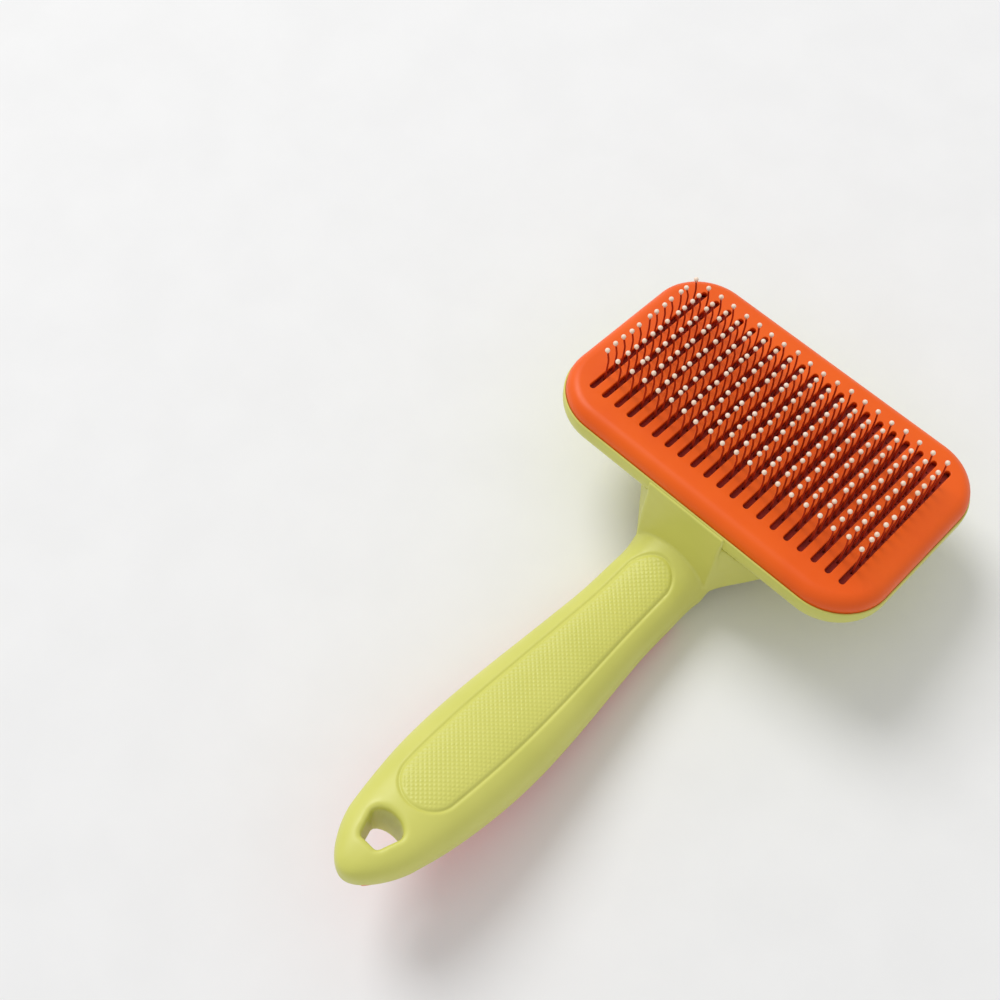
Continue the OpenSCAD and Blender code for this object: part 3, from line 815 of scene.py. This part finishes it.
def make_core():
    """Hub, neck and handle as one smooth moulding, with the panel's relief in its front."""
    points, quads = surface_net(core_field, (-29.1, -149.1, -50.7), (29.1, 27.3, -4.2), 0.6)
    mesh = bpy.data.meshes.new("core")
    mesh.from_pydata(points.tolist(), [], quads.tolist())
    bm = bmesh.new()
    bm.from_mesh(mesh)
    bm.normal_update()
    fine = []
    for f in bm.faces:
        c = f.calc_center_median()
        if f.normal.z > 0.2 and PANEL_AREA[1] < c.y < PANEL_AREA[0]:
            if panel_distance(np.array([c.x]), np.array([c.y]))[0] < 1.3:
                fine.append(f)
    edges = list({e for f in fine for e in f.edges})
    bmesh.ops.subdivide_edges(bm, edges=edges, cuts=2, use_grid_fill=True)
    bmesh.ops.triangulate(bm, faces=[f for f in bm.faces if len(f.verts) > 4])
    bm.to_mesh(mesh)
    bm.free()
    p = np.array([v.co for v in mesh.vertices], float)
    faces = [list(f.vertices) for f in mesh.polygons]
    p, n = settle(core_field, p)
    front = (n[:, 2] > 0.2) & (p[:, 1] < PANEL_AREA[0]) & (p[:, 1] > PANEL_AREA[1])
    p[front] += n[front] * panel_relief(p[front, 0], p[front, 1])[:, None]
    return piece("hub_neck_handle", p, faces, "brush", "green_plastic", ["handle_core"])


# ---- Grip ------------------------------------------------------------------------------

GRIP_ANGLE = 28.0
GRIP_END_R = 7.0
PAD_Y = (-84.5, -120.0)
PAD_HALF = 5.8


def edge_angle(y):
    """Angle of the grip's edge below the side of the section, larger at the grip's round-cornered end."""
    t = np.minimum(GRIP_END_R, GRIP_FROM - y)
    pull = (GRIP_END_R - np.sqrt(np.maximum(0, GRIP_END_R**2 - (GRIP_END_R - t) ** 2))) / 12
    return GRIP_ANGLE + pull * 50 + 12 * smooth_step(-122, -146, y)


def back_point(y, a, proud):
    """Point on the handle's back at angle a below the side, standing proud of the section."""
    w, m, t, e = section(y)
    c, s = np.cos(a), np.sin(a)
    return np.stack([
        np.sign(c) * np.abs(c) ** (2 / e) * np.maximum(w + proud, 0.2),
        y + 0 * a,
        m - np.abs(s) ** (2 / e) * np.maximum(t + proud, 0.2)], -1)


def pad_distance(s, y):
    """Signed distance from the smooth thumb pad's outline."""
    mid, reach = (PAD_Y[0] + PAD_Y[1]) / 2, (PAD_Y[0] - PAD_Y[1]) / 2
    return np.hypot(s, np.maximum(np.abs(y - mid) - reach + PAD_HALF, 0)) - PAD_HALF


def grip_relief(s, y, edge):
    """Height of the grip over the core: rim bead, groove inside it, knurl, and the pad and its outline."""
    bead = 0.42 * smooth_step(0.0, 0.45, edge) * (1 - smooth_step(0.9, 1.35, edge))
    groove = 0.1 * smooth_step(0.0, 0.3, edge)
    field = 0.2 * smooth_step(1.5, 2.1, edge)
    pad = pad_distance(s, y)
    rough = knurl(s, y, 0.15) * smooth_step(1.7, 2.3, edge) * smooth_step(0.3, 0.8, pad)
    dome = 0.32 * smooth_step(0.0, -2.5, pad) - 0.18 * np.exp(-((pad / 0.3) ** 2))
    return np.maximum(bead, groove + field + rough + dome * smooth_step(1.0, 2.0, edge))


def make_grip():
    """Soft grip on the handle's back, a closed sheet with its rim bead, knurl and thumb pad."""
    rows, cols = 380, 128
    ends = 0.5 - 0.5 * np.cos(np.linspace(0, math.pi, rows))
    share = 0.8 * np.linspace(0, 1, rows) + 0.2 * ends
    ys = GRIP_FROM - 0.02 - share * (GRIP_FROM - 0.02 - GRIP_TO)
    t = np.linspace(0, 1, cols)
    y = np.repeat(ys[:, None], cols, 1)
    e0 = np.radians(edge_angle(y))
    a = e0 + (math.pi - 2 * e0) * t[None, :]
    skin = back_point(y, a, 0.0)
    steps = np.linalg.norm(np.diff(skin[:, :, [0, 2]], axis=1), axis=2)
    run = np.concatenate([np.zeros((rows, 1)), np.cumsum(steps, 1)], 1)
    s = run - run[:, -1:] / 2
    side = np.minimum(run, run[:, -1:] - run)
    tip_end = (y - GRIP_TO) * 1.2
    head_end = GRIP_FROM - y
    edge = np.minimum(np.minimum(side, tip_end), head_end)
    proud = grip_relief(s, y, edge) + 0.03
    top = back_point(y, a, proud)
    low = back_point(y, a, -0.9)
    n = rows * cols
    points = np.concatenate([top.reshape(-1, 3), low.reshape(-1, 3)])
    k = np.arange(n).reshape(rows, cols)
    quads = np.stack([k[:-1, :-1], k[:-1, 1:], k[1:, 1:], k[1:, :-1]], -1).reshape(-1, 4)
    rim = np.concatenate([k[0, :-1], k[:-1, -1], k[-1, :0:-1], k[:0:-1, 0]])
    walls = np.stack([rim, np.roll(rim, -1), np.roll(rim, -1) + n, rim + n], -1)
    faces = np.concatenate([quads[:, ::-1], quads + n, walls])
    grip = piece("soft_back_grip", points, faces, "brush", "soft_grip", ["back_grip"])
    recalculate(grip)
    cutter = hole_cutter(HOLE_LIP)
    apply_modifier(grip, "BOOLEAN", operation="DIFFERENCE", object=cutter, solver="EXACT")
    bpy.data.objects.remove(cutter)
    return grip


def hole_cutter(grow):
    """Prism on the hanging hole's outline, grown by grow."""
    flat, foot = HOLE_FLAT + 0.6 * grow, HOLE_FOOT - grow
    wide, dome = HOLE_WIDE + grow, HOLE_DOME + grow - HOLE_SHOULDER
    outline = [(0.7 - flat, foot), (flat - 0.7, foot), (flat, foot + 0.6)]
    outline += [(wide * math.cos(a), HOLE_SHOULDER + dome * math.sin(a)) for a in np.linspace(0, math.pi, 19)]
    outline += [(-flat, foot + 0.6)]
    s = Solid()
    first, last = s.tube([[(px, HOLE_Y + py, z) for px, py in outline] for z in (-56, -30)])
    s.faces += [first[::-1], last]
    mesh = bpy.data.meshes.new("cutter")
    mesh.from_pydata(at_rest(s.points).tolist(), [], s.faces)
    obj = bpy.data.objects.new("cutter", mesh)
    bpy.context.scene.collection.objects.link(obj)
    recalculate(obj)
    return obj


# ---- Spring ----------------------------------------------------------------------------


def make_spring():
    """Return spring with closed ends, coiled from its seat to the button."""
    s = Solid()
    wire, r, turns = 0.4, 6.7, 7
    low, high = BUTTON_TOP + BUTTON_WALL + wire + 0.1, HEAD_BACK - wire - 0.1
    t = np.linspace(0, 1, turns * 28 + 1)
    rise = t + 0.055 * np.sin(2 * math.pi * t)
    a = 2 * math.pi * turns * t
    path = np.stack([r * np.cos(a), AXIS_Y + r * np.sin(a), low + (high - low) * rise], 1)
    rings = []
    for p, b in zip(path, a):
        out = np.array([math.cos(b), math.sin(b), 0])
        rings.append([p + wire * (out * math.cos(q) + np.array([0, 0, 1]) * math.sin(q))
                      for q in np.arange(10) * 2 * math.pi / 10])
    first, last = s.tube(rings)
    s.faces += [first[::-1], last]
    spring = piece("return_spring_coil", s.points, s.faces, "brush", "steel", ["return_spring"])
    recalculate(spring)
    spring.parent = None
    del spring["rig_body"]
    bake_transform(spring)
    return spring


make_face_plate()
make_back_shell()
make_button()
make_pins()
make_core()
make_grip()
make_spring()

CARRIED = {"hub_screws": "steel", "pin_carrier": "white_resin", "pin_base": "base_rubber",
           "latch_cam": "white_resin", "latch_wire": "steel"}
for node, look in CARRIED.items():
    frame["nodes"][node].data.materials.clear()
    frame["nodes"][node].data.materials.append(LOOKS[look])
for node in frame["nodes"].values():
    if node.name not in CARRIED:
        node.data.materials.clear()
        node.data.materials.append(RESIN)

# ---- Floor, light and camera -----------------------------------------------------------


def make_floor():
    """Pale ground under the brush, in metres."""
    side = 3.0
    mesh = bpy.data.meshes.new("floor")
    corners = [(-side, -side, 0), (side, -side, 0), (side, side, 0), (-side, side, 0)]
    mesh.from_pydata(corners, [], [(0, 1, 2, 3)])
    floor = bpy.data.objects.new("floor", mesh)
    bpy.context.scene.collection.objects.link(floor)
    pale = moulded("pale_floor", linear(240, 240, 240), linear(238, 238, 238), (0.8, 0.9), 300.0, 0.0)
    mesh.materials.append(pale)


def aim(obj, target, up):
    """Turns an object so that its -Z looks at target with +Y along up."""
    back = (obj.location - target).normalized()
    right = up.cross(back).normalized()
    obj.matrix_world = Matrix.Translation(obj.location) @ Matrix(
        (right, back.cross(right), back)).transposed().to_4x4()


def make_light(name, place, target, size, watts):
    """Round area light that looks at target."""
    lamp = bpy.data.lights.new(name, "AREA")
    lamp.shape = "DISK"
    lamp.size = size
    lamp.energy = watts
    obj = bpy.data.objects.new(name, lamp)
    obj.location = place
    bpy.context.scene.collection.objects.link(obj)
    aim(obj, Vector(target), Vector((0, 1, 0)))


def make_world(strength):
    """Even white light from all around."""
    world = bpy.data.worlds.new("studio")
    world.use_nodes = True
    world.node_tree.nodes["Background"].inputs["Color"].default_value = (1, 1, 1, 1)
    world.node_tree.nodes["Background"].inputs["Strength"].default_value = strength
    bpy.context.scene.world = world


def make_camera():
    """Three-quarter view from above the face, handle towards the lower left."""
    eye, target = np.array((86.65, -230.6, 301.23)), (-21.1, -80.8, 27.6)
    eye, target, up = at_rest([eye, target, eye + (-60.9, 57, 55.2)])
    data = bpy.data.cameras.new("camera")
    data.lens = 54.47
    data.sensor_width = 36
    data.clip_start = 0.01
    cam = bpy.data.objects.new("camera", data)
    bpy.context.scene.collection.objects.link(cam)
    cam.location = Vector(eye)
    aim(cam, Vector(target), Vector(up) - Vector(eye))
    bpy.context.scene.camera = cam


make_floor()
make_light("key", (-1.6, 0.5, 2.0), (0, 0, 0.02), 1.4, 35)
make_world(0.62)
make_camera()
bpy.context.scene.view_settings.view_transform = "Standard"
